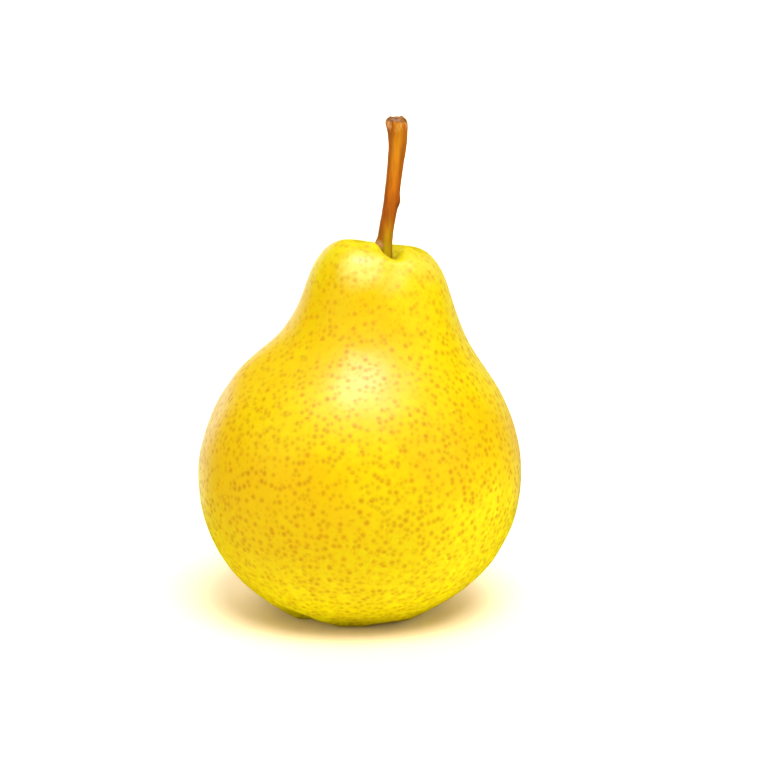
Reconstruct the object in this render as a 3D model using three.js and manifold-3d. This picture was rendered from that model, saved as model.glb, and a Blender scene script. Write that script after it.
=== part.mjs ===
// A ripe yellow pear as picked: the fruit, the woody stem in the cavity of its crown, and the dried
// calyx that the blossom left in the basin underneath. Millimetres, +Z up. The origin is on the surface
// that the pear stands on, under the middle of its belly, and -Y is the side that faces the viewer.
import * as THREE from "three";
import { mergeVertices } from "three/addons/utils/BufferGeometryUtils.js";
import Module from "manifold-3d";

// Driving dimensions.
const BELLY_RADIUS = 36;
const CROWN_HEIGHT = 84;
const STEM_TOP = 111.2;
const STEM_RADIUS = 1.65; // at the slimmest place
const STEM_X = 5.6; // the stem cavity lies right of the middle
const CALYX_RADIUS = 2.3; // of the plug that the sepals grow from
const CALYX_X = -0.8; // the calyx lies left of the middle
const FIT_GAP = 0.3; // clearance round a piece that stands in the fruit

// How finely the surfaces are cut.
const FRUIT_SIDES = 56;
const FRUIT_STEPS = 3; // rings between two rings of an outline
const STEM_SIDES = 20;
const STEM_STEPS = 3;
const CALYX_SIDES = 20;
const CALYX_STEPS = 2;

const COLOURS = { skin: 0xf7cb14, bark: 0xa8651c, husk: 0x4a3524 };

const degrees = THREE.MathUtils.degToRad;

// Shares of four neighbouring rings in a uniform cubic B-spline, t of the way from the second to the third.
function splineShares(t) {
  const s = 1 - t;
  return [s ** 3 / 6, (3 * t ** 3 - 6 * t ** 2 + 4) / 6, (3 * s ** 3 - 6 * s ** 2 + 4) / 6, t ** 3 / 6];
}

// One ring of an outline: its radius and height, where its middle is, and how far its plane leans to the
// right and nods towards the viewer, in degrees.
function ring(radius, height, x = 0, y = 0, lean = 0, nod = 0) {
  return { radius, height, x, y, lean: degrees(lean), nod: degrees(nod) };
}

// The same place on the other side of a pole, so that the surface closes over the pole without a crease.
function beyondPole(r) {
  return { ...r, radius: -r.radius, lean: -r.lean, nod: -r.nod };
}

function blend(four, shares) {
  const mixed = {};
  for (const key of Object.keys(four[0])) {
    mixed[key] = four.reduce((sum, r, i) => sum + r[key] * shares[i], 0);
  }
  return mixed;
}

// A closed body through rings whose first and last have no radius. The rings run so that the outside is
// on the right.
function turned(outline, sides, steps) {
  const rings = [beyondPole(outline[1]), ...outline, beyondPole(outline.at(-2))];
  const fine = [];
  for (let i = 0; i + 3 < rings.length; i++) {
    for (let k = 0; k < steps; k++) fine.push(blend(rings.slice(i, i + 4), splineShares(k / steps)));
  }
  fine.push(blend(rings.slice(-4), splineShares(1)));

  const points = [];
  fine.forEach((r, i) => {
    const atPole = i === 0 || i === fine.length - 1;
    for (let j = 0; j < (atPole ? 1 : sides); j++) {
      const angle = (2 * Math.PI * j) / sides;
      const across = atPole ? 0 : r.radius * Math.cos(angle);
      const along = atPole ? 0 : r.radius * Math.sin(angle);
      points.push(new THREE.Vector3(
        r.x + across * Math.cos(r.lean),
        r.y + along * Math.cos(r.nod),
        r.height - across * Math.sin(r.lean) + along * Math.sin(r.nod),
      ));
    }
  });

  const at = (i, j) => (i === 0 ? 0 : 1 + (i - 1) * sides + (j % sides));
  const faces = [];
  for (let j = 0; j < sides; j++) {
    faces.push(0, at(1, j + 1), at(1, j));
    for (let i = 1; i < fine.length - 2; i++) {
      faces.push(at(i, j), at(i, j + 1), at(i + 1, j + 1), at(i, j), at(i + 1, j + 1), at(i + 1, j));
    }
    faces.push(at(fine.length - 2, j), at(fine.length - 2, j + 1), points.length - 1);
  }
  const body = new THREE.BufferGeometry().setFromPoints(points);
  body.setIndex(faces);
  return body;
}

// Pushes the surface at a place by a vector. The push fades smoothly to nothing at its reach, as under
// a thumb.
function press(body, marks) {
  const place = body.getAttribute("position");
  const point = new THREE.Vector3();
  for (const { at, push, reach } of marks) {
    const centre = new THREE.Vector3(...at);
    const before = place.clone();
    for (let i = 0; i < place.count; i++) {
      const near = 1 - point.fromBufferAttribute(before, i).distanceTo(centre) / reach;
      if (near <= 0) continue;
      const share = near * near * (3 - 2 * near);
      point.addScaledVector(new THREE.Vector3(...push), share);
      place.setXYZ(i, point.x, point.y, point.z);
    }
  }
  return body;
}

// What reaches below the surface that the pear stands on is pressed flat against it.
function standFlat(body) {
  const place = body.getAttribute("position");
  for (let i = 0; i < place.count; i++) place.setZ(i, Math.max(0, place.getZ(i)));
  return body;
}

// The fruit's outline runs from the pit of the calyx under the base, out to the belly, and up over the
// crown into the socket of the stem. Radii are shares of the belly's radius and heights are shares of the
// crown's height, except where the calyx and the stem need their own room.
function fruitOutline() {
  const pit = CALYX_RADIUS + FIT_GAP;
  const socket = STEM_RADIUS + 0.2 + FIT_GAP;
  const skin = (radius, height, x, lean) =>
    ring(radius * BELLY_RADIUS, height * CROWN_HEIGHT, x, 0, lean);
  return [
    ring(0, 12, CALYX_X),
    ring(pit, 12, CALYX_X),
    ring(pit, 10, CALYX_X),
    ring(pit, 7.8, CALYX_X),
    skin(0.13, 0.072, -0.9), // floor of the basin
    skin(0.225, 0.027, -1.0),
    skin(0.335, -0.026, -1.5), // foot
    skin(0.515, 0.021, -1.1),
    skin(0.747, 0.09, -0.5),
    skin(0.944, 0.202, -0.2),
    skin(1.031, 0.351, 0), // belly
    skin(0.986, 0.5, 0),
    skin(0.84, 0.621, 0.1),
    skin(0.656, 0.705, 1.7), // waist
    skin(0.528, 0.78, 3.3),
    skin(0.461, 0.857, 4.1, 3), // neck
    skin(0.406, 0.933, 4.3, 6),
    skin(0.3, 0.99, 4.8, 7), // crown
    skin(0.178, 0.992, 5.3, 6),
    skin(0.1, 0.957, STEM_X, 4), // floor of the stem cavity
    ring(socket, 79, STEM_X),
    ring(socket, 77, STEM_X),
    ring(socket, 74, STEM_X),
    ring(0, 74, STEM_X),
  ];
}

// Hollows and swellings that make this fruit uneven: where each is, how far the surface moves there, and
// its reach.
const FRUIT_MARKS = [
  { at: [-9.2, -11.9, 0.4], push: [0.3, 0.5, 1.8], reach: 6 }, // fold at the foot, front left
  { at: [-13.6, -14, 2.4], push: [0.4, 0.5, 0.9], reach: 6 }, // the fold runs out up the side
  { at: [5.2, -12.2, 0.2], push: [0, 0.1, 1.0], reach: 6 },
  { at: [-1, -18, 0.6], push: [0, 0.3, 0.5], reach: 9 },
  { at: [12.4, 2.4, 0.2], push: [-0.1, 0, 1.1], reach: 8 },
  { at: [2.6, 12.6, 0.2], push: [0, -0.2, 1.4], reach: 8 },
  { at: [-11.6, 6.8, 0.2], push: [0.2, -0.1, 1.0], reach: 8 },
  { at: [-24, -5, 58], push: [-1.2, 0, 0.3], reach: 12 }, // the left shoulder is fuller
  { at: [-33, -4, 47], push: [0.8, 0, 0], reach: 12 },
  { at: [30, -2, 51], push: [0.4, 0, 0], reach: 12 },
  { at: [22, 26, 44], push: [-0.6, -0.7, -0.2], reach: 22 },
  { at: [-12, 32, 34], push: [0.3, 1.0, 0.2], reach: 22 },
  { at: [3.2, -4.4, 83.2], push: [0.5, 0, 1.9], reach: 3.6 }, // the rim stands up left of the stem
  { at: [10.4, -4.2, 82.2], push: [0, 0, 1.2], reach: 3.2 }, // and right of it
  { at: [7.2, -3.6, 82.4], push: [0, 0.2, -1.6], reach: 2.4 }, // notch of the rim in front of the stem
  { at: [7.3, -5.6, 83], push: [0, 0.2, -1.7], reach: 3 },
  { at: [7.4, -8, 82.6], push: [0, 0.3, -1.3], reach: 3.6 },
  { at: [7.4, -12, 79], push: [0, 0.9, -0.2], reach: 7 }, // the notch fades out down the neck
  { at: [-1.4, -9.4, 80.4], push: [0, -0.8, 0.5], reach: 6.5 },
  { at: [14.4, -8, 79.6], push: [0.1, -0.4, 0.3], reach: 5 },
  { at: [5, 9, 84], push: [0, -0.2, -0.7], reach: 9 }, // the rim sinks behind the stem
  { at: [-1.6, -3.4, 84.8], push: [0, 0, 1.1], reach: 7 },
];

// The stem's outline runs from its root in the socket up to the swollen end where it parted from the
// branch.
function stemOutline() {
  const r = STEM_RADIUS;
  const top = STEM_TOP;
  return [
    ring(0, 75, STEM_X),
    ring(r - 0.1, 75, STEM_X),
    ring(r + 0.1, 76.6, STEM_X),
    ring(r + 0.1, 79.2, STEM_X),
    ring(r + 0.08, 81.4, STEM_X - 0.15),
    ring(r + 0.08, 83.6, STEM_X - 0.12),
    ring(r + 0.06, 86.2, 5.78, 0.1),
    ring(r + 0.03, 88.9, 6.27, 0.25),
    ring(r + 0.04, 91.4, 6.72, 0.5),
    ring(r + 0.06, 94.2, 7.15, 0.75),
    ring(r + 0.08, 99.3, 7.72, 1.15),
    ring(r + 0.18, 102, 8.07, 1.35),
    ring(r + 0.33, 104.6, 8.33, 1.5),
    ring(r + 0.46, 107.2, 8.43, 1.6, 0, 1),
    ring(r + 0.64, top - 2.7, 8.36, 1.6, 0, 2),
    ring(r + 0.85, top - 1.4, 8.16, 1.55, -1, 3), // swollen end
    ring(r + 0.62, top - 0.3, 8.02, 1.5, -1, 4),
    ring(r - 0.25, top + 0.2, 7.96, 1.45, -1, 4), // rim of the scar
    ring(r - 1.1, top, 7.96, 1.45, -1, 4),
    ring(0, top, 7.96, 1.45),
  ];
}

const STEM_MARKS = [
  { at: [8.6, 0.5, 92.6], push: [0.4, 0, 0], reach: 1.9 }, // scar of a bud
  { at: [3.8, -0.6, 83.9], push: [-0.45, -0.1, 0.1], reach: 1.9 }, // fleshy fold at the base
  { at: [4.4, -1.6, 82.9], push: [-0.3, -0.35, 0.2], reach: 1.2 },
  { at: [6.8, 0.6, 111.2], push: [0, 0, 0.42], reach: 1.3 }, // two humps of the torn end
  { at: [9.3, 0.8, 111.2], push: [0, 0, 0.42], reach: 1.2 },
  { at: [8.05, 0.6, 111.4], push: [0, 0, -0.55], reach: 1.3 }, // and the dent between them
];

// One dried sepal: a pointed blade that bends outwards and down from the rim of the calyx.
function sepal(turn, length, curl) {
  const rows = 7;
  const rootRadius = 1.3;
  const rootHeight = 7.1;
  const rootSlope = 12; // degrees below the level, and the blade grows steeper towards its tip
  const halfWidth = 1.3;
  const halfThickness = 0.36;
  const section = [[-1, 0], [-0.6, -1], [0.6, -1], [1, 0], [0.6, 1], [-0.6, 1]];
  const points = [];
  for (let i = 0; i <= rows; i++) {
    const s = i / rows;
    const slope = degrees(rootSlope + curl * s);
    const out = rootRadius + length * s * Math.cos(0.6 * slope);
    const height = rootHeight - length * s * Math.sin(0.6 * slope);
    const half = halfWidth * (1 - 0.78 * s ** 1.6);
    for (const [side, up] of section) {
      const thick = up * halfThickness;
      points.push(new THREE.Vector3(
        out + thick * Math.sin(slope),
        side * half,
        height + thick * Math.cos(slope),
      ));
    }
  }
  const n = section.length;
  const faces = [];
  for (let i = 0; i < rows; i++) {
    for (let j = 0; j < n; j++) {
      const a = n * i + j;
      const b = n * i + ((j + 1) % n);
      faces.push(a, b + n, a + n, a, b, b + n);
    }
  }
  const last = n * rows;
  for (let j = 1; j + 1 < n; j++) faces.push(0, j + 1, j, last, last + j, last + j + 1);
  const blade = new THREE.BufferGeometry().setFromPoints(points);
  blade.setIndex(faces);
  return blade.rotateZ(degrees(turn));
}

// One withered stamen, a short thread that leans out from the middle of the calyx and hangs down.
function stamen(turn, lean) {
  const thread = new THREE.CylinderGeometry(0.3, 0.36, 3.2, 6);
  thread.rotateX(-Math.PI / 2).translate(0, 0, -0.6);
  return thread.rotateY(degrees(-lean)).translate(0.75, 0, 7.2).rotateZ(degrees(turn));
}

function calyxPlug() {
  const r = CALYX_RADIUS;
  return turned(
    [
      ring(0, 6.4),
      ring(0.4 * r, 6.5),
      ring(0.8 * r, 6.6),
      ring(r, 7.1),
      ring(r, 8.6),
      ring(0.95 * r, 10),
      ring(0.7 * r, 11),
      ring(0, 11),
    ],
    CALYX_SIDES,
    CALYX_STEPS,
  );
}

const wasm = await Module();
wasm.setup();

function solid(geometry) {
  const bare = geometry.clone();
  bare.deleteAttribute("normal");
  bare.deleteAttribute("uv");
  const welded = mergeVertices(bare);
  return new wasm.Manifold(new wasm.Mesh({
    numProp: 3,
    vertProperties: new Float32Array(welded.getAttribute("position").array),
    triVerts: new Uint32Array(welded.index.array),
  }));
}

function geometryOf(body) {
  const mesh = body.getMesh();
  const geometry = new THREE.BufferGeometry();
  geometry.setAttribute("position", new THREE.BufferAttribute(mesh.vertProperties, 3));
  geometry.setIndex(new THREE.BufferAttribute(mesh.triVerts, 1));
  return geometry;
}

function fruitGeometry() {
  return standFlat(press(turned(fruitOutline(), FRUIT_SIDES, FRUIT_STEPS), FRUIT_MARKS));
}

function stemGeometry() {
  return press(turned(stemOutline(), STEM_SIDES, STEM_STEPS), STEM_MARKS);
}

// The plug, five sepals and a tuft of stamens, fused into one dry piece under the fruit.
function calyxGeometry() {
  const sepals = [[8, 3.6, 60], [80, 3.2, 75], [151, 3.7, 52], [226, 3.1, 82], [295, 3.5, 66]];
  const leans = [14, 19, 14, 19, 14]; // of the stamens, in degrees
  let husk = solid(calyxPlug());
  for (const [turn, length, curl] of sepals) husk = husk.add(solid(sepal(turn, length, curl)));
  leans.forEach((lean, i) => {
    husk = husk.add(solid(stamen((360 * i) / leans.length, lean)));
  });
  return geometryOf(husk);
}

function piece(name, geometry, colour, roughness) {
  geometry.computeVertexNormals();
  const finish = new THREE.MeshStandardMaterial({ color: colour, roughness, metalness: 0 });
  const mesh = new THREE.Mesh(geometry, finish);
  mesh.name = name;
  return mesh;
}

const calyx = piece("calyx", calyxGeometry(), COLOURS.husk, 0.9);
calyx.position.set(CALYX_X, 0, 0);

const pear = new THREE.Group();
pear.add(
  piece("fruit", fruitGeometry(), COLOURS.skin, 0.4),
  piece("stem", stemGeometry(), COLOURS.bark, 0.6),
  calyx,
);

export default pear;
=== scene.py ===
"""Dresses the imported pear.

The fruit has its speckled skin, the stem its bark and the calyx its dried husk, on a pale floor.
"""
import logging
import math
import random
from collections.abc import Callable, Iterable, Mapping, Sequence
from dataclasses import dataclass, field
from enum import Enum
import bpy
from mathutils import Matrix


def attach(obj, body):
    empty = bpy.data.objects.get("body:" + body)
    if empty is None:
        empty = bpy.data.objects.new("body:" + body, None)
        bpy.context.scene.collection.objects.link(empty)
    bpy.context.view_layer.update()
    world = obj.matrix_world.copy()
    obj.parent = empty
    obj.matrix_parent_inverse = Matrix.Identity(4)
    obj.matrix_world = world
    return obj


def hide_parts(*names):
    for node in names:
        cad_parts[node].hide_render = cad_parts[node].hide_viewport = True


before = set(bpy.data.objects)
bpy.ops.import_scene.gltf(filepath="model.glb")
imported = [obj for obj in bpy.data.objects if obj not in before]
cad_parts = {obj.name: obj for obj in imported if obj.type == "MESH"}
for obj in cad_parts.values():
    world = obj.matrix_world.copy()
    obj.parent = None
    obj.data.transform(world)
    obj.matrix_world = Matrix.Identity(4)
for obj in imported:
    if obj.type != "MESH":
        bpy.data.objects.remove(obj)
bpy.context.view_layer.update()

from types import MappingProxyType
from typing import Any, Union

import bmesh
import bpy
from mathutils import Vector

LOG = logging.getLogger("pear")
MM = 0.001  # in metres
METRE = 1000.0  # in millimetres
Colour = tuple[float, float, float, float]
Place = tuple[float, float, float]
Number = Union[float, "Value"]
Key = Union[int, str]
NOTHING: Mapping[Any, Any] = MappingProxyType({})


class Slot(Enum):
    """The record's material slots."""

    SKIN = "skin"
    BARK = "bark"
    HUSK = "husk"


def rgb(red: int, green: int, blue: int) -> Colour:
    """Turns a colour as a screen shows it into the linear colour that a shader takes.

    Args:
        red: Red, 0 to 255.
        green: Green, 0 to 255.
        blue: Blue, 0 to 255.

    Returns:
        The linear colour, with full alpha.
    """
    shown = [c / 255 for c in (red, green, blue)]
    linear = [c / 12.92 if c <= 0.04045 else ((c + 0.055) / 1.055) ** 2.4 for c in shown]
    return (linear[0], linear[1], linear[2], 1.0)


def soft_step(low: float, high: float, value: float) -> float:
    """Rises smoothly from 0 at low to 1 at high.

    Args:
        low: Where the rise starts.
        high: Where it ends.
        value: Where it is read.

    Returns:
        The height of the rise there.
    """
    share = min(1.0, max(0.0, (value - low) / (high - low)))
    return share * share * (3 - 2 * share)


# Modelling


@dataclass(frozen=True)
class Ring:
    """One ring of a turned form. Sizes are in millimetres.

    Its plane leans to the right and nods to the back, in degrees.
    """

    radius: float
    height: float
    x: float = 0.0
    y: float = 0.0
    lean: float = 0.0
    nod: float = 0.0

    @property
    def middle(self) -> Vector:
        """The middle of the ring, in metres."""
        return Vector((self.x, self.y, self.height)) * MM


@dataclass(frozen=True)
class Mark:
    """A place where a thumb moves the surface. Sizes are in millimetres.

    It says where, how far, and how far round it the move fades out.
    """

    at: Place
    push: Place
    reach: float


class Bench:
    """The moves that shape a mesh, each made with Blender's own edit operators."""

    @staticmethod
    def clear() -> None:
        """Deselects everything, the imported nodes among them."""
        bpy.ops.object.select_all(action="DESELECT")

    @staticmethod
    def turn(degrees: float, axis: str, middle: Vector) -> None:
        """Turns what is selected. The operator turns the other way with no window open.

        Args:
            degrees: How far, by the right-hand rule.
            axis: The axis, as a letter.
            middle: A point on the axis.
        """
        if degrees:
            bpy.ops.transform.rotate(
                value=-math.radians(degrees), orient_axis=axis, center_override=middle
            )

    @classmethod
    def loft(
        cls, name: str, rings: Sequence[Ring], sides: int, levels: int
    ) -> bpy.types.Object:
        """Raises a closed form from a disc, ring by ring, and smooths it.

        Args:
            name: The piece's name.
            rings: The rings, from one end to the other.
            sides: How many corners a ring has before it is smoothed.
            levels: How many times it is subdivided.

        Returns:
            The piece, in object mode.
        """
        cls.clear()
        # A smoothed polygon shrinks, so its corners start that much further out.
        outset = MM * 3 / (2 + math.cos(math.tau / sides))
        before = rings[0]
        bpy.ops.mesh.primitive_circle_add(
            vertices=sides,
            radius=before.radius * outset,
            fill_type="TRIFAN",
            location=before.middle,
        )
        piece = bpy.context.object
        piece.name = piece.data.name = name
        bpy.ops.object.transform_apply(location=True)
        bpy.ops.object.mode_set(mode="EDIT")
        bpy.ops.mesh.select_mode(type="EDGE")
        cls.pick_rim()
        cls.turn(before.lean, "Y", before.middle)
        cls.turn(before.nod, "X", before.middle)
        for ring in rings[1:]:
            step = ring.middle - before.middle
            bpy.ops.mesh.extrude_edges_move(TRANSFORM_OT_translate={"value": step})
            growth = ring.radius / before.radius
            bpy.ops.transform.resize(value=(growth,) * 3, center_override=ring.middle)
            cls.turn(ring.lean - before.lean, "Y", ring.middle)
            cls.turn(ring.nod - before.nod, "X", ring.middle)
            before = ring
        cls.close(piece, levels)
        return piece

    @staticmethod
    def pick_rim() -> None:
        """Selects the open rim of the mesh in edit mode."""
        bpy.ops.mesh.select_all(action="DESELECT")
        bpy.ops.mesh.select_non_manifold()

    @classmethod
    def close(cls, piece: bpy.types.Object, levels: int) -> None:
        """Closes the selected rim, turns the faces outwards, leaves edit mode and smooths.

        Args:
            piece: The piece.
            levels: How many times it is subdivided.
        """
        bpy.ops.mesh.edge_face_add()
        bpy.ops.mesh.poke()
        bpy.ops.mesh.select_all(action="SELECT")
        bpy.ops.mesh.normals_make_consistent(inside=False)
        bpy.ops.object.mode_set(mode="OBJECT")
        cls.smooth(piece, levels)

    @staticmethod
    def apply(piece: bpy.types.Object, kind: str, **settings: Any) -> None:
        """Adds a modifier to a piece and applies it.

        Args:
            piece: The piece.
            kind: The modifier's type.
            **settings: What to set on it.
        """
        modifier = piece.modifiers.new(kind.lower(), kind)
        for key, value in settings.items():
            setattr(modifier, key, value)
        bpy.context.view_layer.objects.active = piece
        bpy.ops.object.modifier_apply(modifier=modifier.name)

    @classmethod
    def smooth(cls, piece: bpy.types.Object, levels: int) -> None:
        """Subdivides a piece and shades it smooth.

        Args:
            piece: The piece.
            levels: How many times it is subdivided.
        """
        cls.apply(piece, "SUBSURF", levels=levels, render_levels=levels)
        cls.clear()
        piece.select_set(True)
        bpy.ops.object.shade_smooth()

    @staticmethod
    def pick(piece: bpy.types.Object, wanted: Callable[[Vector], bool]) -> None:
        """Selects the points of a piece by their place, in edit mode.

        Args:
            piece: The piece.
            wanted: Says for a point's place, in metres, whether it is selected.
        """
        mesh = bmesh.from_edit_mesh(piece.data)
        for vert in mesh.verts:
            vert.select_set(wanted(vert.co))
        mesh.select_flush_mode()
        bmesh.update_edit_mesh(piece.data)

    @classmethod
    def press(cls, piece: bpy.types.Object, marks: Iterable[Mark]) -> None:
        """Moves the surface at each mark, as under a thumb.

        Args:
            piece: The piece, in object mode.
            marks: The marks, in order.
        """
        bpy.context.view_layer.objects.active = piece
        bpy.ops.object.mode_set(mode="EDIT")
        bpy.ops.mesh.select_mode(type="VERT")
        for mark in marks:
            at = Vector(mark.at) * MM
            mesh = bmesh.from_edit_mesh(piece.data)
            places = (vert.co for vert in mesh.verts)
            nearest = min(places, key=lambda co: (co - at).length_squared).copy()
            cls.pick(piece, lambda co: (co - nearest).length_squared == 0)
            bpy.ops.transform.translate(
                value=Vector(mark.push) * MM,
                use_proportional_edit=True,
                proportional_edit_falloff="SMOOTH",
                proportional_size=mark.reach * MM,
            )
        bpy.ops.object.mode_set(mode="OBJECT")

    @classmethod
    def set_down(cls, piece: bpy.types.Object) -> None:
        """Flattens what is under the ground.

        Args:
            piece: The piece, which is the active one.
        """
        bpy.ops.object.mode_set(mode="EDIT")
        cls.pick(piece, lambda co: co.z < 0)
        bpy.ops.transform.resize(value=(1, 1, 0), center_override=(0, 0, 0))
        bpy.ops.object.mode_set(mode="OBJECT")

    @staticmethod
    def weigh(piece: bpy.types.Object, name: str, weight: Callable[[Vector], float]) -> None:
        """Gives a piece a vertex group whose weights follow the place.

        Args:
            piece: The piece.
            name: The group's name.
            weight: Says for a point's place, in millimetres, how much it counts.
        """
        group = piece.vertex_groups.new(name=name)
        for vert in piece.data.vertices:
            group.add([vert.index], weight(vert.co / MM), "REPLACE")

    @classmethod
    def roughen(cls, piece: bpy.types.Object, group: str, grain: float, depth: float) -> None:
        """Makes a surface gently uneven.

        Args:
            piece: The piece.
            group: The vertex group that says where.
            grain: The size of the unevenness, in millimetres.
            depth: Its whole depth, in millimetres.
        """
        clouds = bpy.data.textures.new(group, "CLOUDS")
        clouds.noise_scale = grain * MM
        clouds.noise_depth = 1
        cls.apply(
            piece,
            "DISPLACE",
            texture=clouds,
            texture_coords="LOCAL",
            vertex_group=group,
            strength=depth * MM,
            mid_level=0.5,
        )

    @classmethod
    def copy(
        cls, piece: bpy.types.Object, turn: float, size: float, middle: Vector
    ) -> bpy.types.Object:
        """Copies a piece with a mesh of its own, turned about the upright and scaled.

        Args:
            piece: What is copied.
            turn: How far the copy is turned, in degrees.
            size: Its size, as a share of the first one's.
            middle: What it turns and grows about.

        Returns:
            The copy, with its place in its mesh.
        """
        cls.clear()
        piece.select_set(True)
        bpy.context.view_layer.objects.active = piece
        bpy.ops.object.duplicate(linked=False)
        twin = bpy.context.object
        twin.location = middle
        twin.rotation_euler.z = math.radians(turn)
        twin.scale = (size, size, size)
        bpy.ops.object.transform_apply(location=True, rotation=True, scale=True)
        return twin

    @classmethod
    def join(cls, name: str, pieces: Sequence[bpy.types.Object]) -> bpy.types.Object:
        """Joins pieces into one.

        Args:
            name: The name of the whole.
            pieces: The pieces.

        Returns:
            The joined piece.
        """
        cls.clear()
        for piece in pieces:
            piece.select_set(True)
        bpy.context.view_layer.objects.active = pieces[0]
        bpy.ops.object.join()
        whole = bpy.context.object
        whole.name = whole.data.name = name
        return whole


# Finishes


@dataclass(frozen=True)
class Patch:
    """A round patch of a finish. Sizes are in millimetres.

    It is full as far as inner from its centre, gone at outer, and has its share of the colour.
    """

    at: Place
    inner: float
    outer: float
    share: float


@dataclass(frozen=True)
class Band:
    """A band of heights: where it starts and where it is full, in millimetres, and its share."""

    start: float
    full: float
    share: float = 1.0


@dataclass(frozen=True)
class Clouds:
    """A cloudy pattern: the size of its patches, in millimetres, and how fine it goes.

    It is nothing below low and has its whole share above high, or the other way round.
    """

    grain: float
    detail: float
    low: float = 0.0
    high: float = 1.0
    share: float = 1.0


@dataclass(frozen=True)
class Specks:
    """Scattered specks: how far apart they are and how large the largest is, in millimetres.

    The share says how many of them are there, and the strength how much each shows.
    """

    spacing: float
    radius: float
    share: float
    strength: float
    # How softly a speck comes and goes as their number changes.
    softness: float = 0.08
    # Shares of the largest radius: the smallest speck, and the most that chance adds to it.
    least: float = 0.7
    spread: float = 0.3
    # Shares too: where a speck is solid, and where the ring round it is full and where it ends.
    core: float = 0.1
    ring_full: float = 0.5
    ring_end: float = 1.8


class Value:
    """A shader socket that takes part in sums."""

    def __init__(self, graph: "Graph", socket: Union[bpy.types.NodeSocket, None]) -> None:
        """Wraps a socket of a graph, or none for a node that gives nothing."""
        self.graph = graph
        self.socket = socket

    def _sum(self, operation: str, first: Number, second: Number) -> "Value":
        """Adds a Math node for one operation on two numbers."""
        return self.graph.node("ShaderNodeMath", {"operation": operation}, {0: first, 1: second})

    def __add__(self, other: Number) -> "Value":
        """Adds a number or a socket."""
        return self._sum("ADD", self, other)

    def __sub__(self, other: Number) -> "Value":
        """Takes a number or a socket away."""
        return self._sum("SUBTRACT", self, other)

    def __rsub__(self, other: Number) -> "Value":
        """Takes this socket away from a number."""
        return self._sum("SUBTRACT", other, self)

    def __mul__(self, other: Number) -> "Value":
        """Multiplies by a number or a socket."""
        return self._sum("MULTIPLY", self, other)

    __radd__ = __add__
    __rmul__ = __mul__

    def fade(self, low: Number, high: Number) -> "Value":
        """Goes smoothly from 0 at low to 1 at high, whichever of them is the larger."""
        sockets = {"Value": self, "From Min": low, "From Max": high}
        return self.graph.node("ShaderNodeMapRange", {"interpolation_type": "SMOOTHSTEP"}, sockets)


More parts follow.
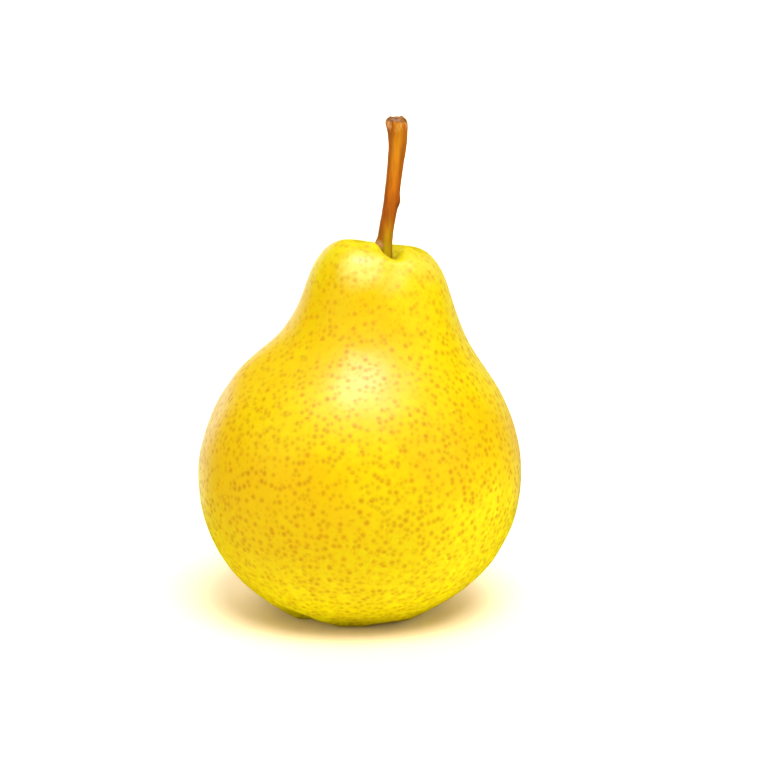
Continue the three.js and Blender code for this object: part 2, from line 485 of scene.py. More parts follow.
class Graph:
    """The nodes of one material. Sizes are in millimetres."""

    def __init__(self, name: str) -> None:
        """Starts an empty material."""
        self.material = bpy.data.materials.new(name)
        self.material.use_nodes = True
        self.tree = self.material.node_tree
        self.tree.nodes.clear()
        self.place = self.node("ShaderNodeTexCoord", out="Object")
        self.x, self.z = (
            self.node("ShaderNodeSeparateXYZ", sockets={0: self.place}, out=axis) * METRE
            for axis in "XZ"
        )

    @staticmethod
    def _find(sockets: Any, key: Key) -> bpy.types.NodeSocket:
        """Finds a node's socket by its number, identifier or name."""
        if isinstance(key, int):
            return sockets[key]
        return next((s for s in sockets if s.identifier == key), None) or sockets[key]

    def node(
        self,
        kind: str,
        settings: Mapping[str, Any] = NOTHING,
        sockets: Mapping[Key, Any] = NOTHING,
        out: Key = 0,
    ) -> Value:
        """Adds a node.

        Args:
            kind: The node's type.
            settings: What is set on it, before its sockets.
            sockets: The value or link of each of its inputs.
            out: Which of its outputs is wanted.

        Returns:
            That output.
        """
        made = self.tree.nodes.new(kind)
        for key, value in settings.items():
            setattr(made, key, value)
        for key, value in sockets.items():
            if isinstance(value, Value):
                self.tree.links.new(value.socket, self._find(made.inputs, key))
            else:
                self._find(made.inputs, key).default_value = value
        return Value(self, self._find(made.outputs, out) if len(made.outputs) else None)

    def mix(self, share: Number, under: Any, over: Any) -> Value:
        """Lays one colour over another.

        Args:
            share: How much of the upper colour shows.
            under: The lower colour.
            over: The upper colour.

        Returns:
            The mixed colour.
        """
        sockets = {"Factor_Float": share, "A_Color": under, "B_Color": over}
        return self.node("ShaderNodeMix", {"data_type": "RGBA"}, sockets, out="Result_Color")

    def stretched(self, along: float) -> Value:
        """Gives the place with its height shrunk, so that patterns run lengthwise."""
        return self.node("ShaderNodeMapping", sockets={0: self.place, "Scale": (1.0, 1.0, along)})

    def noise(self, kind: Clouds, place: Union[Value, None] = None) -> Value:
        """Gives a cloudy pattern as it is.

        Args:
            kind: Its grain and its detail.
            place: Where it is read, or None for the place itself.

        Returns:
            The pattern, about 0.5 on average.
        """
        sockets = {
            "Vector": place or self.place,
            "Scale": METRE / kind.grain,
            "Detail": kind.detail,
        }
        return self.node("ShaderNodeTexNoise", sockets=sockets)

    def clouds(self, kind: Clouds, place: Union[Value, None] = None) -> Value:
        """Gives a cloudy pattern between its limits, at its own share.

        Args:
            kind: The pattern.
            place: Where it is read, or None for the place itself.

        Returns:
            From 0 to its share.
        """
        return self.noise(kind, place).fade(kind.low, kind.high) * kind.share

    def specks(self, kind: Specks, share: Number) -> tuple[Value, Value, Value]:
        """Scatters round specks, each with a faint ring round it.

        Args:
            kind: Their spacing and their size.
            share: How many of them are there, from 0 to 1.

        Returns:
            Where the specks are, where the rings round them are, and a random tone for each.
        """
        sockets = {"Vector": self.place, "Scale": METRE / kind.spacing}
        far = self.node("ShaderNodeTexVoronoi", sockets=sockets)
        own = self.node("ShaderNodeTexVoronoi", sockets=sockets, out="Color")
        chance = self.node("ShaderNodeSeparateColor", sockets={0: own})
        kept = (chance - share).fade(kind.softness, -kind.softness)
        tone = self.node("ShaderNodeSeparateColor", sockets={0: own}, out=1)
        size = kind.radius / kind.spacing
        own_size = tone * (kind.spread * size) + kind.least * size
        specks = far.fade(own_size, kind.core * size) * kept
        rings = far.fade(kind.ring_end * size, kind.ring_full * size) * kept
        return specks, rings, tone

    def near(self, patch: Patch) -> Value:
        """Marks a round patch, at full strength.

        Args:
            patch: Where it is and how far it reaches.

        Returns:
            1 inside and 0 outside.
        """
        sockets = {0: self.place, 1: tuple(part * MM for part in patch.at)}
        far = self.node("ShaderNodeVectorMath", {"operation": "DISTANCE"}, sockets, out="Value")
        return far.fade(patch.outer * MM, patch.inner * MM)

    def patch(self, patch: Patch) -> Value:
        """Marks a round patch, at its own share."""
        return self.near(patch) * patch.share

    def band(self, band: Band) -> Value:
        """Marks a band of heights, at its own share."""
        return self.z.fade(band.start, band.full) * band.share

    def surface(self, relief: Value, depth: float, **sockets: Any) -> bpy.types.Material:
        """Ends the graph in one shader.

        Args:
            relief: The height of the surface, from 0 to 1.
            depth: How much a height of 1 is.
            **sockets: The shader's sockets, with an underscore for each space.

        Returns:
            The material.
        """
        bump = self.node("ShaderNodeBump", sockets={"Distance": depth * MM, "Height": relief})
        named = {key.replace("_", " "): value for key, value in sockets.items()}
        shader = self.node("ShaderNodeBsdfPrincipled", sockets={**named, "Normal": bump})
        self.node("ShaderNodeOutputMaterial", sockets={"Surface": shader})
        return self.material


@dataclass(frozen=True)
class SkinFinish:
    """Ripe waxy skin: gold, lemon and a warm cheek, with lenticels and some russet.

    The russet lies round the stem and the calyx, and round the stem it is also painted shade in the
    hollow. Pale patches on the crown are painted highlights, and the paler low part, foot and low
    side patches are partly painted light. Sizes are in millimetres.
    """

    gold: Colour = rgb(178, 153, 1)
    lemon: Colour = rgb(178, 166, 2)
    cheek: Colour = rgb(184, 143, 0)
    # The low and foot colours: paler skin, partly painted bounce light from the floor.
    low: Colour = rgb(192, 183, 2)
    foot: Colour = rgb(215, 216, 4)
    olive: Colour = rgb(122, 86, 0)
    rust: Colour = rgb(144, 82, 0)
    # Russet, which round the stem also serves as painted shade in its hollow.
    russet: Colour = rgb(113, 75, 17)
    # A whitish pale yellow, laid on the crown lobes as a painted highlight.
    painted_highlight: Colour = rgb(208, 204, 136)
    # How much more lemon each millimetre to the right brings.
    rightwards: float = 0.003
    crown_band: Band = Band(68, 82, 0.12)
    # Where the low and foot colours lie: partly painted bounce light.
    low_and_bounce_light_band: Band = Band(40, 12, 0.7)
    foot_and_bounce_light_band: Band = Band(24, 2, 0.9)
    neck_band: Band = Band(58, 76)
    # Towards the foot there are more fine lenticels, and the large ones are fainter.
    crowded_band: Band = Band(40, 14, 0.3)
    faint_band: Band = Band(34, 14, 0.25)
    cheek_patch: Patch = Patch((-22, -28, 32), 6, 30, 0.2)
    # Lemon patches low on the right and left: paler skin, partly painted light on those sides.
    paler_and_painted_light_patches: tuple[Patch, ...] = (
        Patch((28, -18, 18), 6, 28, 0.7),
        Patch((-33, -4, 22), 5, 20, 0.6),
    )
    # Painted highlights on the two lobes of the crown.
    painted_highlight_patches: tuple[Patch, ...] = (
        Patch((0.2, -12, 80), 1, 6.5, 0.4),
        Patch((14.5, -8, 80), 1, 6, 0.12),
    )
    # Russet round the stem, partly painted shade in the stem's hollow.
    collar_and_shade_patch: Patch = Patch((5.8, 0, 79), 3.2, 8, 0.55)
    basin_patch: Patch = Patch((-0.8, 0, 7), 3.5, 11, 0.7)
    # Gold turns to lemon between these heights of the wide clouds.
    wide: Clouds = Clouds(26, 3, 0.42, 0.64)
    blush: Clouds = Clouds(1.9, 3, 0.45, 0.75, 0.16)
    crowding: Clouds = Clouds(8, 1, 0.3, 0.7, 0.3)
    veins: Clouds = Clouds(1.6, 4, 0.42, 0.62)
    large: Specks = Specks(1.34, 0.94, 0.72, 0.27)
    fine: Specks = Specks(0.95, 0.44, 0.3, 0.2)
    # How much stronger chance makes a large lenticel, and how strong the rings are.
    large_spread: float = 0.38
    large_ring: float = 0.3
    fine_ring: float = 0.1
    # On the neck there are fewer large lenticels and more fine ones, and the large are fainter.
    neck_fewer: float = 0.45
    neck_fainter: float = 0.3
    neck_more_fine: float = 0.5
    neck_stronger_fine: float = 0.08
    # The rarest tones are rust, and away from the left edge more of them.
    rusty_tones: tuple[float, float] = (0.6, 1.0)
    rusty_side: tuple[float, float] = (-33, -20)
    rusty_share: float = 0.25
    # The relief's fine grain, its waves and its lenticels, as shares of the whole.
    grain: Clouds = Clouds(0.5, 2, share=0.25)
    waves: Clouds = Clouds(3.5, 2, share=0.5)
    raised: float = 0.35
    relief: float = 0.05
    # The roughness: its least, and what its clouds and the lenticels add.
    roughness: float = 0.31
    rougher: Clouds = Clouds(6, 3, share=0.1)
    rougher_lenticels: float = 0.1
    gloss: float = 0.08
    # How much light goes through the flesh, and how deep its red, green and blue reach.
    flesh: float = 0.12
    flesh_depth: tuple[float, float, float] = (3, 1.6, 0.4)

    def ground(self, g: Graph) -> Value:
        """Lays the colours under the lenticels, with the painted highlights on the crown and the
        partly painted light low down.

        Args:
            g: The material's graph.

        Returns:
            The colour.
        """
        pale = g.noise(self.wide) + g.x * self.rightwards + g.band(self.crown_band)
        skin = g.mix(pale.fade(self.wide.low, self.wide.high), self.gold, self.lemon)
        skin = g.mix(g.patch(self.cheek_patch), skin, self.cheek)
        # Paler low part and foot, partly painted bounce light.
        skin = g.mix(g.band(self.low_and_bounce_light_band), skin, self.low)
        skin = g.mix(g.band(self.foot_and_bounce_light_band), skin, self.foot)
        # Low lemon patches, partly painted light.
        for patch in self.paler_and_painted_light_patches:
            skin = g.mix(g.patch(patch), skin, self.foot)
        # Painted highlights on the crown lobes.
        for patch in self.painted_highlight_patches:
            skin = g.mix(g.patch(patch), skin, self.painted_highlight)
        return g.mix(g.clouds(self.blush), skin, self.cheek)

    def speckled(self, g: Graph, skin: Value) -> tuple[Value, Value]:
        """Scatters large and fine lenticels over the skin: fewer, fainter and finer on the neck.

        Args:
            g: The material's graph.
            skin: The colour under them.

        Returns:
            The colour with the lenticels, and where the large ones are.
        """
        neck = g.band(self.neck_band)
        share = g.clouds(self.crowding) - neck * self.neck_fewer + self.large.share
        dots, rings, tone = g.specks(self.large, share)
        fine_share = g.band(self.crowded_band) + neck * self.neck_more_fine + self.fine.share
        fine, fine_rings, _ = g.specks(self.fine, fine_share)
        skin = g.mix(rings * self.large_ring + fine_rings * self.fine_ring, skin, self.cheek)
        fine_strength = neck * self.neck_stronger_fine + self.fine.strength
        skin = g.mix(fine * fine_strength, skin, self.olive)
        faint = 1.0 - neck * self.neck_fainter - g.band(self.faint_band)
        strength = (tone * self.large_spread + self.large.strength) * faint
        rusty = (tone + g.x.fade(*self.rusty_side) * self.rusty_share).fade(*self.rusty_tones)
        return g.mix(dots * strength, skin, g.mix(rusty, self.olive, self.rust)), dots

    def material(self) -> bpy.types.Material:
        """Builds the material.

        Returns:
            The material.
        """
        g = Graph("pear_skin")
        skin, dots = self.speckled(g, self.ground(g))
        veins = g.clouds(self.veins)
        # Russet round the stem, partly painted shade in its hollow.
        collar_and_shade = g.near(self.collar_and_shade_patch) * veins
        basin = g.near(self.basin_patch) * veins
        russet = collar_and_shade * self.collar_and_shade_patch.share + basin * self.basin_patch.share
        skin = g.mix(russet, skin, self.russet)
        grain = g.noise(self.grain) * self.grain.share + g.noise(self.waves) * self.waves.share
        rougher = g.noise(self.rougher) * self.rougher.share
        return g.surface(
            grain + dots * self.raised + veins * (collar_and_shade + basin),
            self.relief,
            Base_Color=skin,
            Roughness=rougher + dots * self.rougher_lenticels + self.roughness,
            Subsurface_Weight=self.flesh,
            Subsurface_Radius=tuple(depth * MM for depth in self.flesh_depth),
            Subsurface_Scale=1.0,
            Specular_IOR_Level=self.gloss,
        )


@dataclass(frozen=True)
class BarkFinish:
    """The stem's bark: ochre with brown sides that are painted shade, yellow at the fruit, with a
    scar on its end.

    The scar is where it left the branch. Sizes are in millimetres.
    """

    ochre: Colour = rgb(171, 112, 12)
    orange: Colour = rgb(162, 90, 4)
    # Brown for a band of the bark, and as painted shade on both sides of the stem.
    brown: Colour = rgb(127, 61, 1)
    dark: Colour = rgb(75, 37, 4)
    greenish: Colour = rgb(173, 139, 6)
    yellow: Colour = rgb(185, 162, 7)
    scar: Colour = rgb(138, 92, 59)
    fleck: Colour = rgb(192, 148, 101)
    ochre_band: Band = Band(94, 106)
    brown_band: Band = Band(97, 91, 0.55)
    greenish_band: Band = Band(91, 83.5, 0.8)
    yellow_band: Band = Band(84.8, 82, 0.8)
    end_band: Band = Band(108, 109.6)
    bud_patch: Patch = Patch((8.8, 0, 92.2), 0.4, 1.3, 0.6)
    lip_patch: Patch = Patch((4.0, -1.4, 83.4), 0.5, 1.7, 0.55)
    pores: Specks = Specks(0.9, 0.24, 0.5, 0.4)
    # The dark between the fibres, the crumbs on the lip, and the grooves and wood of the end.
    fibres: Clouds = Clouds(0.5, 4, 0.62, 0.36, 0.25)
    crumbs: Clouds = Clouds(0.45, 2, 0.52, 0.62, 0.75)
    grooves: Clouds = Clouds(0.34, 3, 0.46, 0.6, 0.75)
    wood: Clouds = Clouds(0.6, 3, 0.42, 0.66)
    # How far up a face points where the dark rim and the bare wood start and are full.
    rim_from: tuple[float, float] = (0.12, 0.5)
    rim_share: float = 0.7
    wood_from: tuple[float, float] = (0.72, 0.9)
    wood_share: float = 0.9
    # How far from the middle the painted shade of the brown sides starts and is full.
    left_shade_from: tuple[float, float] = (0.1, -1.5)
    left_shade_share: float = 0.8
    right_shade_from: tuple[float, float] = (0.35, 1.5)
    right_shade_share: float = 0.75
    # The line between the two sides of painted shade: where it meets the ground, and how it leans.
    shade_line_x: float = -2.4
    lean: float = 0.1
    # The fibres' width, as a share of their length.
    slimness: float = 0.1
    # The relief's fibres, grain and pores, as shares of the whole.
    raised_fibres: float = 0.7
    grain: Clouds = Clouds(0.3, 2, share=0.3)
    raised_pores: float = 0.3
    relief: float = 0.12
    roughness: float = 0.34
    rougher_fibres: float = 0.25
    gloss: float = 0.08

    def sides(self, g: Graph) -> Value:
        """Marks the brown sides of the stem, to the left and to the right of its leaning axis, as
        painted shade.

        Args:
            g: The material's graph.

        Returns:
            How much painted shade it has.
        """
        from_shade_line = g.x - g.z * self.lean - self.shade_line_x
        left = from_shade_line.fade(*self.left_shade_from) * self.left_shade_share
        return left + from_shade_line.fade(*self.right_shade_from) * self.right_shade_share

    def end(self, g: Graph, bark: Value, along: Value) -> Value:
        """Dresses the end where the stem left the branch: grooves, a dark rim and the scar.

        Args:
            g: The material's graph.
            bark: The bark's colour.
            along: The place, stretched lengthwise.

        Returns:
            The colour with the end.
        """
        facing = g.node("ShaderNodeNewGeometry", out="Normal")
        upward = g.node("ShaderNodeSeparateXYZ", sockets={0: facing}, out="Z")
        end = g.band(self.end_band)
        bark = g.mix(g.clouds(self.grooves, along) * end, bark, self.fleck)
        rim = upward.fade(*self.rim_from) * end
        face = upward.fade(*self.wood_from) * end
        bark = g.mix(rim * self.rim_share, bark, self.dark)
        wood = g.mix(g.clouds(self.wood), self.scar, self.dark)
        return g.mix(face * self.wood_share, bark, wood)

    def material(self) -> bpy.types.Material:
        """Builds the material.

        Returns:
            The material.
        """
        g = Graph("stem_bark")
        along = g.stretched(self.slimness)
        fibres = g.noise(self.fibres, along)
        bark = g.mix(g.band(self.ochre_band), self.orange, self.ochre)
        bark = g.mix(g.band(self.brown_band), bark, self.brown)
        bark = g.mix(g.band(self.greenish_band), bark, self.greenish)
        bark = g.mix(g.band(self.yellow_band), bark, self.yellow)
        # Painted shade: brown laid on both sides of the stem.
        bark = g.mix(self.sides(g), bark, self.brown)
        between = fibres.fade(self.fibres.low, self.fibres.high) * self.fibres.share
        bark = g.mix(between, bark, self.dark)
        bark = g.mix(g.patch(self.bud_patch), bark, self.dark)
        pores, _, tone = g.specks(self.pores, self.pores.share)
        bark = g.mix(pores * self.pores.strength, bark, g.mix(tone, self.dark, self.ochre))
        lip = g.near(self.lip_patch)
        bark = g.mix(lip * self.lip_patch.share, bark, self.fleck)
        bark = g.mix(g.clouds(self.crumbs) * lip, bark, self.dark)
        grain = g.noise(self.grain) * self.grain.share
        return g.surface(
            fibres * self.raised_fibres + grain + pores * self.raised_pores,
            self.relief,
            Base_Color=self.end(g, bark, along),
            Roughness=fibres * self.rougher_fibres + self.roughness,
            Specular_IOR_Level=self.gloss,
        )


@dataclass(frozen=True)
class HuskFinish:
    """The dried calyx: papery brown, darker towards the tips, with grey down.

    Sizes are in millimetres.
    """

    root: Colour = rgb(110, 80, 38)
    tip: Colour = rgb(47, 31, 19)
    down: Colour = rgb(130, 112, 86)
    tip_band: Band = Band(7.4, 5)
    creases: Clouds = Clouds(0.6, 4, 0.5, 0.7, 0.5)
    relief: float = 0.2
    roughness: float = 0.7
    rougher: float = 0.2

    def material(self) -> bpy.types.Material:
        """Builds the material.

        Returns:
            The material.
        """
        g = Graph("calyx_husk")
        creases = g.noise(self.creases)
        husk = g.mix(g.band(self.tip_band), self.root, self.tip)
        downy = creases.fade(self.creases.low, self.creases.high) * self.creases.share
        return g.surface(
            creases,
            self.relief,
            Base_Color=g.mix(downy, husk, self.down),
            Roughness=creases * self.rougher + self.roughness,
        )


@dataclass(frozen=True)
class FloorFinish:
    """A pale matt floor with the faintest mottle. Sizes are in millimetres."""

    pale: Colour = (0.93, 0.78, 0.56, 1.0)
    paler: Colour = (0.94, 0.8, 0.59, 1.0)
    mottle: Clouds = Clouds(40, 2)
    relief: float = 0.02
    roughness: float = 0.6
    rougher: float = 0.1
    gloss: float = 0.2

    def material(self) -> bpy.types.Material:
        """Builds the material.

        Returns:
            The material.
        """
        g = Graph("pale_floor")
        mottle = g.noise(self.mottle)
        return g.surface(
            mottle,
            self.relief,
            Base_Color=g.mix(mottle, self.pale, self.paler),
            Roughness=mottle * self.rougher + self.roughness,
            Specular_IOR_Level=self.gloss,
        )


# Pieces


def hand_over(piece: bpy.types.Object, node: str, slot: Slot, finish: bpy.types.Material) -> None:
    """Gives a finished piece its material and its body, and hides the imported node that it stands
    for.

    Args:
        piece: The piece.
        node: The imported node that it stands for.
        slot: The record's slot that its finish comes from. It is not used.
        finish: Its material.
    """
    piece.data.materials.clear()
    piece.data.materials.append(finish)
    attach(piece, "root")
    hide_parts(node)
    LOG.info("%s: %d faces in place of %s", piece.name, len(piece.data.polygons), node)


@dataclass
class Fruit:
    """The fruit: belly, neck, lopsided crown and folded foot. Sizes are in millimetres."""

    belly: float = 36.0
    crown: float = 84.0
    calyx_x: float = -0.8
    pit_radius: float = 2.6
    stem_x: float = 5.6
    socket_radius: float = 2.15
    grain: float = 11.0
    unevenness: float = 0.35
    # Where the unevenness starts and where it is full.
    free_above_foot: tuple[float, float] = (2, 12)
    free_below_neck: tuple[float, float] = (70, 60)
    free_round_stem: tuple[float, float] = (3, 8)
    sides: int = 24
    levels: int = 3
    finish: SkinFinish = field(default_factory=SkinFinish)

    def rings(self) -> list[Ring]:
        """Gives the outline, from the pit of the calyx round the belly into the socket of the stem.

        Returns:
            The rings.
        """
        pit = [Ring(self.pit_radius, height, self.calyx_x) for height in (12, 10, 7.8)]
        # Radius and height, as shares of the belly's and the crown's, then middle and lean.
        skin = [
            (0.13, 0.072, -0.9, 0),
            (0.225, 0.027, -1.0, 0),
            (0.335, -0.026, -1.5, 0),
            (0.515, 0.021, -1.1, 0),
            (0.747, 0.09, -0.5, 0),
            (0.944, 0.202, -0.2, 0),
            (1.031, 0.351, 0.0, 0),
            (0.986, 0.5, 0.0, 0),
            (0.84, 0.621, 0.1, 0),
            (0.656, 0.705, 1.7, 0),
            (0.528, 0.78, 3.3, 0),
            (0.461, 0.857, 4.1, 3),
            (0.406, 0.933, 4.3, 6),
            (0.3, 0.99, 4.8, 7),
            (0.178, 0.992, 5.3, 6),
            (0.1, 0.957, self.stem_x, 4),
        ]
        socket = [Ring(self.socket_radius, height, self.stem_x) for height in (79, 77, 74)]
        turned = [Ring(r * self.belly, z * self.crown, x, lean=lean) for r, z, x, lean in skin]
        return pit + turned + socket

    def marks(self) -> list[Mark]:
        """Gives the hollows and swellings that make this fruit uneven.

        Returns:
            The marks.
        """
        return [
            Mark((-9.2, -11.9, 0.4), (0.3, 0.5, 1.8), 6),
            Mark((-13.6, -14, 2.4), (0.4, 0.5, 0.9), 6),
            Mark((5.2, -12.2, 0.2), (0, 0.1, 1.0), 6),
            Mark((-1, -18, 0.6), (0, 0.3, 0.5), 9),
            Mark((12.4, 2.4, 0.2), (-0.1, 0, 1.1), 8),
            Mark((2.6, 12.6, 0.2), (0, -0.2, 1.4), 8),
            Mark((-11.6, 6.8, 0.2), (0.2, -0.1, 1.0), 8),
            Mark((-24, -5, 58), (-1.2, 0, 0.3), 12),
            Mark((-33, -4, 47), (0.8, 0, 0), 12),
            Mark((30, -2, 51), (0.4, 0, 0), 12),
            Mark((22, 26, 44), (-0.6, -0.7, -0.2), 22),
            Mark((-12, 32, 34), (0.3, 1.0, 0.2), 22),
            Mark((3.2, -4.4, 83.2), (0.5, 0, 1.9), 3.6),
            Mark((10.4, -4.2, 82.2), (0, 0, 1.2), 3.2),
            Mark((7.2, -3.6, 82.4), (0, 0.2, -1.6), 2.4),
            Mark((7.3, -5.6, 83), (0, 0.2, -1.7), 3),
            Mark((7.4, -8, 82.6), (0, 0.3, -1.3), 3.6),
            Mark((7.4, -12, 79), (0, 0.9, -0.2), 7),
            Mark((-1.4, -9.4, 80.4), (0, -0.8, 0.5), 6.5),
            Mark((14.4, -8, 79.6), (0.1, -0.4, 0.3), 5),
            Mark((5, 9, 84), (0, -0.2, -0.7), 9),
            Mark((-1.6, -3.4, 84.8), (0, 0, 1.1), 7),
        ]

    def free_skin(self, place: Vector) -> float:
        """Says how freely the skin may move: not at the foot, the calyx or the stem.

        Args:
            place: A point's place.

        Returns:
            From 0 to 1.
        """
        from_stem = math.hypot(place.x - self.stem_x, place.y)
        above_foot = soft_step(*self.free_above_foot, place.z)
        round_stem = soft_step(*self.free_round_stem, from_stem)
        return above_foot * max(round_stem, soft_step(*self.free_below_neck, place.z))

    def build(self) -> bpy.types.Object:
        """Models and dresses the fruit.

        Returns:
            The piece.
        """
        piece = Bench.loft("pear_fruit", self.rings(), self.sides, self.levels)
        Bench.press(piece, self.marks())
        Bench.weigh(piece, "free_skin", self.free_skin)
        Bench.roughen(piece, "free_skin", self.grain, self.unevenness)
        Bench.set_down(piece)
        hand_over(piece, "fruit", Slot.SKIN, self.finish.material())
        return piece


@dataclass
class Stem:
    """The stem, from its root in the socket to its swollen end. Sizes are in millimetres."""

    radius: float = 1.65
    top: float = 111.2
    x: float = 5.6
    grain: float = 2.2
    roughness: float = 0.2
    # The heights where the roughness starts and where it is full.
    shaft_from: tuple[float, float] = (84, 88)
    sides: int = 16
    levels: int = 2
    finish: BarkFinish = field(default_factory=BarkFinish)

    def rings(self) -> list[Ring]:
        """Gives the outline from the root up to the scar.

        Returns:
            The rings.
        """
        r, top, x = self.radius, self.top, self.x
        return [
            Ring(r - 0.1, 75, x),
            Ring(r + 0.1, 76.6, x),
            Ring(r + 0.1, 79.2, x),
            Ring(r + 0.08, 81.4, x - 0.15),
            Ring(r + 0.08, 83.6, x - 0.12),
            Ring(r + 0.06, 86.2, 5.78, 0.1),
            Ring(r + 0.03, 88.9, 6.27, 0.25),
            Ring(r + 0.04, 91.4, 6.72, 0.5),
            Ring(r + 0.06, 94.2, 7.15, 0.75),
            Ring(r + 0.08, 99.3, 7.72, 1.15),
            Ring(r + 0.18, 102, 8.07, 1.35),
            Ring(r + 0.33, 104.6, 8.33, 1.5),
            Ring(r + 0.46, 107.2, 8.43, 1.6, 0, 1),
            Ring(r + 0.64, top - 2.7, 8.36, 1.6, 0, 2),
            Ring(r + 0.85, top - 1.4, 8.16, 1.55, -1, 3),
            Ring(r + 0.62, top - 0.3, 8.02, 1.5, -1, 4),
            Ring(r - 0.25, top + 0.2, 7.96, 1.45, -1, 4),
            Ring(r - 1.1, top, 7.96, 1.45, -1, 4),
        ]

    def marks(self) -> list[Mark]:
        """Gives the bud scar, the fold at the base, and the humps and dent of the torn end.

        Returns:
            The marks.
        """
        return [
            Mark((8.6, 0.5, 92.6), (0.4, 0, 0), 1.9),
            Mark((3.8, -0.6, 83.9), (-0.45, -0.1, 0.1), 1.9),
            Mark((4.4, -1.6, 82.9), (-0.3, -0.35, 0.2), 1.2),
            Mark((6.8, 0.6, 111.2), (0, 0, 0.42), 1.3),
            Mark((9.3, 0.8, 111.2), (0, 0, 0.42), 1.2),
            Mark((8.05, 0.6, 111.4), (0, 0, -0.55), 1.3),
        ]

    def build(self) -> bpy.types.Object:
        """Models and dresses the stem.

        Returns:
            The piece.
        """
        piece = Bench.loft("pear_stem", self.rings(), self.sides, self.levels)
        Bench.press(piece, self.marks())
        Bench.weigh(piece, "shaft", lambda place: soft_step(*self.shaft_from, place.z))
        Bench.roughen(piece, "shaft", self.grain, self.roughness)
        hand_over(piece, "stem", Slot.BARK, self.finish.material())
        return piece


@dataclass(frozen=True)
class Strand:
    """A flat or round strand that grows outwards from the origin. Sizes are in millimetres.

    The section is its width and its thickness at the root. Each step has its length, how wide it
    leaves the strand, and how many degrees it bends down. The droop is how far below the level
    the strand starts, in degrees.
    """

    name: str
    section: tuple[float, float]
    steps: tuple[tuple[float, float, float], ...]
    droop: float
    sides: int = 8
    levels: int = 2

    def build(self) -> bpy.types.Object:
        """Draws the strand, step by step.

        Returns:
            The strand.
        """
        Bench.clear()
        # A disc 1 mm across, which the section then scales.
        bpy.ops.mesh.primitive_circle_add(
            vertices=self.sides,
            radius=0.5 * MM,
            fill_type="TRIFAN",
            rotation=(0, math.pi / 2, 0),
        )
        strand = bpy.context.object
        strand.name = self.name
        bpy.ops.object.transform_apply(rotation=True)
        bpy.ops.object.mode_set(mode="EDIT")
        bpy.ops.mesh.select_mode(type="EDGE")
        bpy.ops.transform.resize(value=(1, *self.section), center_override=(0, 0, 0))
        Bench.turn(self.droop, "Y", Vector())
        Bench.pick_rim()
        at, slope = Vector(), self.droop
        for length, width, bend in self.steps:
            slope += bend
            way = Vector((math.cos(math.radians(slope)), 0, -math.sin(math.radians(slope))))
            way = way * length * MM
            at += way
            bpy.ops.mesh.extrude_edges_move(TRANSFORM_OT_translate={"value": way})
            bpy.ops.transform.resize(value=(1, width, 1), center_override=at)
            Bench.turn(bend, "Y", at)
        Bench.close(strand, self.levels)
        return strand


SEPAL = Strand(
    "sepal",
    (2.7, 0.72),
    ((1.3, 1.05, 2), (0.9, 0.95, 12), (0.9, 0.8, 16), (0.8, 0.62, 16), (0.7, 0.45, 8)),
    8,
)
STAMEN = Strand(
    "stamen", (0.5, 0.5), ((0.5, 1, 0), (0.6, 0.9, 4), (0.6, 0.9, 6), (0.3, 1.5, 0)), 58
)


@dataclass
class Calyx:
    """The dried calyx in the basin: a plug, five sepals and a tuft of stamens.

    Sizes are in millimetres, and turns in degrees.
    """

    radius: float = 2.3
    x: float = -0.8
    root: float = 7.1
    sepal_turns: tuple[float, ...] = (8, 80, 151, 226, 295)
    sepal_sizes: tuple[float, float] = (0.9, 1.04)
    stamens: int = 9
    stamen_sway: float = 9
    stamen_sizes: tuple[float, float] = (0.9, 1.15)
    seed: int = 5
    sides: int = 12
    levels: int = 2
    finish: HuskFinish = field(default_factory=HuskFinish)

    def plug(self) -> bpy.types.Object:
        """Models the plug that the sepals grow from.

        Returns:
            The plug.
        """
        shape = [(0.4, 6.5), (0.8, 6.6), (1, 7.1), (1, 8.6), (0.95, 10), (0.7, 11)]
        rings = [Ring(share * self.radius, height, self.x) for share, height in shape]
        return Bench.loft("plug", rings, self.sides, self.levels)

    def build(self) -> bpy.types.Object:
        """Models and dresses the calyx.

        Returns:
            The piece.
        """
        chance = random.Random(self.seed)
        middle = Vector((self.x, 0, self.root)) * MM
        sepal, stamen = SEPAL.build(), STAMEN.build()
        parts = [self.plug()]
        for turn in self.sepal_turns:
            parts.append(Bench.copy(sepal, turn, chance.uniform(*self.sepal_sizes), middle))
        for turn in range(0, 360, 360 // self.stamens):
            swayed = turn + chance.uniform(-self.stamen_sway, self.stamen_sway)
            size = chance.uniform(*self.stamen_sizes)
            parts.append(Bench.copy(stamen, swayed, size, middle))
        for first in (sepal, stamen):
            bpy.data.objects.remove(first)
        piece = Bench.join("pear_calyx", parts)
        hand_over(piece, "calyx", Slot.HUSK, self.finish.material())
        return piece


# Studio


class Glow(Enum):
    """What a lamp gives: light on the surfaces, or the gleam on what is glossy."""

    LIGHT = "light"
    GLEAM = "gleam"


@dataclass(frozen=True)
class Lamp:
    """One broad light, far away.

    It has the way it lies, its strength, how wide it looks, in degrees, and what it gives.
    """

    way: Place
    strength: float
    width: float
    gives: Glow


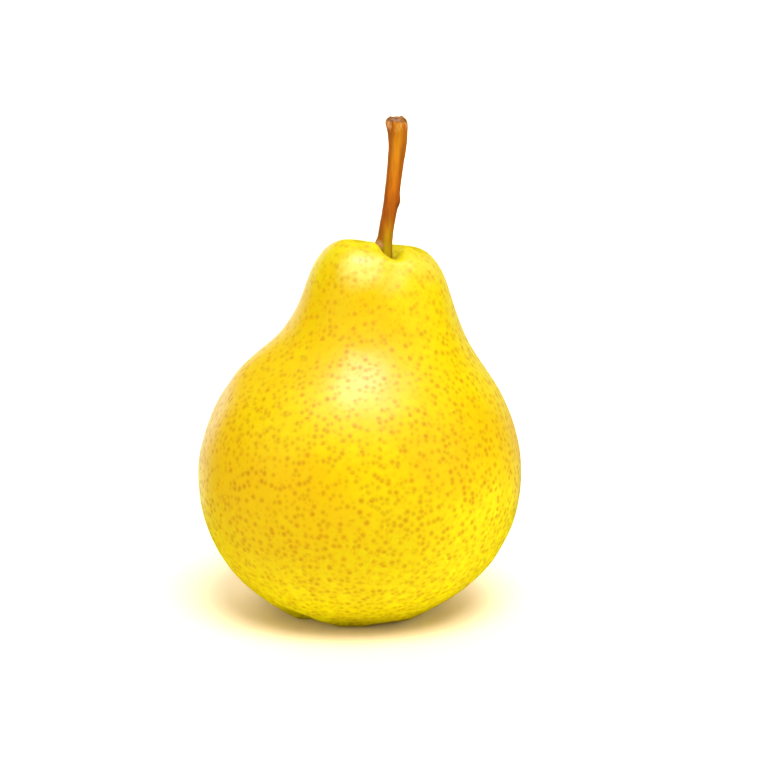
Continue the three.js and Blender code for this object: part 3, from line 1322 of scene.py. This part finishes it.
@dataclass
class Studio:
    """The camera, the floor and the light. Sizes are in metres, and the lens in millimetres."""

    target: Place = (0.0054, 0.0, 0.052)
    distance: float = 0.477
    elevation: float = 12.0
    lens: float = 100.0
    nearest: float = 0.01
    floor_size: float = 16.0
    surround: float = 0.2
    fill: Colour = (1.0, 0.8, 0.1, 1.0)
    backdrop: Colour = (1.0, 1.0, 1.0, 1.0)
    lamps: tuple[Lamp, ...] = (
        Lamp((0, 0, 1), 1.9, 80, Glow.LIGHT),
        Lamp((0.13, -0.46, 0.88), 3.7, 34, Glow.LIGHT),
        Lamp((-1, -0.5, 0.36), 1.4, 50, Glow.LIGHT),
        Lamp((1, -0.5, 0.38), 1.5, 50, Glow.LIGHT),
        Lamp((-0.1, 0.9, 0.6), 1.3, 60, Glow.LIGHT),
        Lamp((-0.13, -0.25, 0.96), 9.6, 18, Glow.GLEAM),
        Lamp((0.17, -0.25, 0.96), 9.6, 18, Glow.GLEAM),
        Lamp((-0.55, 0.95, 0.02), 0.75, 40, Glow.GLEAM),
        Lamp((0.55, 0.95, 0.02), 0.25, 40, Glow.GLEAM),
    )
    finish: FloorFinish = field(default_factory=FloorFinish)

    def camera(self) -> None:
        """Places the camera."""
        tilt = math.radians(self.elevation)
        back = Vector((0, -math.cos(tilt), math.sin(tilt))) * self.distance
        bpy.ops.object.camera_add(
            location=Vector(self.target) + back, rotation=(math.pi / 2 - tilt, 0, 0)
        )
        camera = bpy.context.object
        camera.data.lens = self.lens
        camera.data.clip_start = self.nearest
        bpy.context.scene.camera = camera

    def floor(self) -> None:
        """Lays the floor."""
        Bench.clear()
        bpy.ops.mesh.primitive_plane_add(size=self.floor_size)
        floor = bpy.context.object
        floor.name = "floor"
        floor.data.materials.append(self.finish.material())
        floor.visible_glossy = False

    def sky(self) -> None:
        """Sets the soft surround: white to the camera, and a weak warm fill to the surfaces."""
        world = bpy.data.worlds.new("surround")
        world.use_nodes = True
        nodes, links = world.node_tree.nodes, world.node_tree.links
        paths = nodes.new("ShaderNodeLightPath")
        tint = nodes.new("ShaderNodeMix")
        tint.data_type = "RGBA"
        tint.inputs["A"].default_value = tuple(self.surround * part for part in self.fill)
        tint.inputs["B"].default_value = self.backdrop
        links.new(paths.outputs["Is Camera Ray"], tint.inputs["Factor"])
        links.new(tint.outputs["Result"], nodes["Background"].inputs["Color"])
        world.cycles_visibility.glossy = False
        bpy.context.scene.world = world

    def light(self) -> None:
        """Hangs the lamps, each for what it gives."""
        for lamp in self.lamps:
            turn = Vector(lamp.way).to_track_quat("Z", "Y").to_euler()
            bpy.ops.object.light_add(type="SUN", rotation=turn)
            sun = bpy.context.object
            sun.data.energy = lamp.strength
            sun.data.angle = math.radians(lamp.width)
            sun.visible_diffuse = lamp.gives is Glow.LIGHT
            sun.visible_glossy = lamp.gives is Glow.GLEAM

    def build(self) -> None:
        """Sets up the whole studio, and shows its colours as they are."""
        self.camera()
        self.floor()
        self.sky()
        self.light()
        bpy.context.scene.view_settings.view_transform = "Standard"


def main() -> None:
    """Builds the studio and then each piece."""
    logging.basicConfig(level=logging.INFO, format="%(name)s: %(message)s")
    Studio().build()
    for part in (Fruit(), Stem(), Calyx()):
        part.build()


if __name__ == "__main__":
    main()
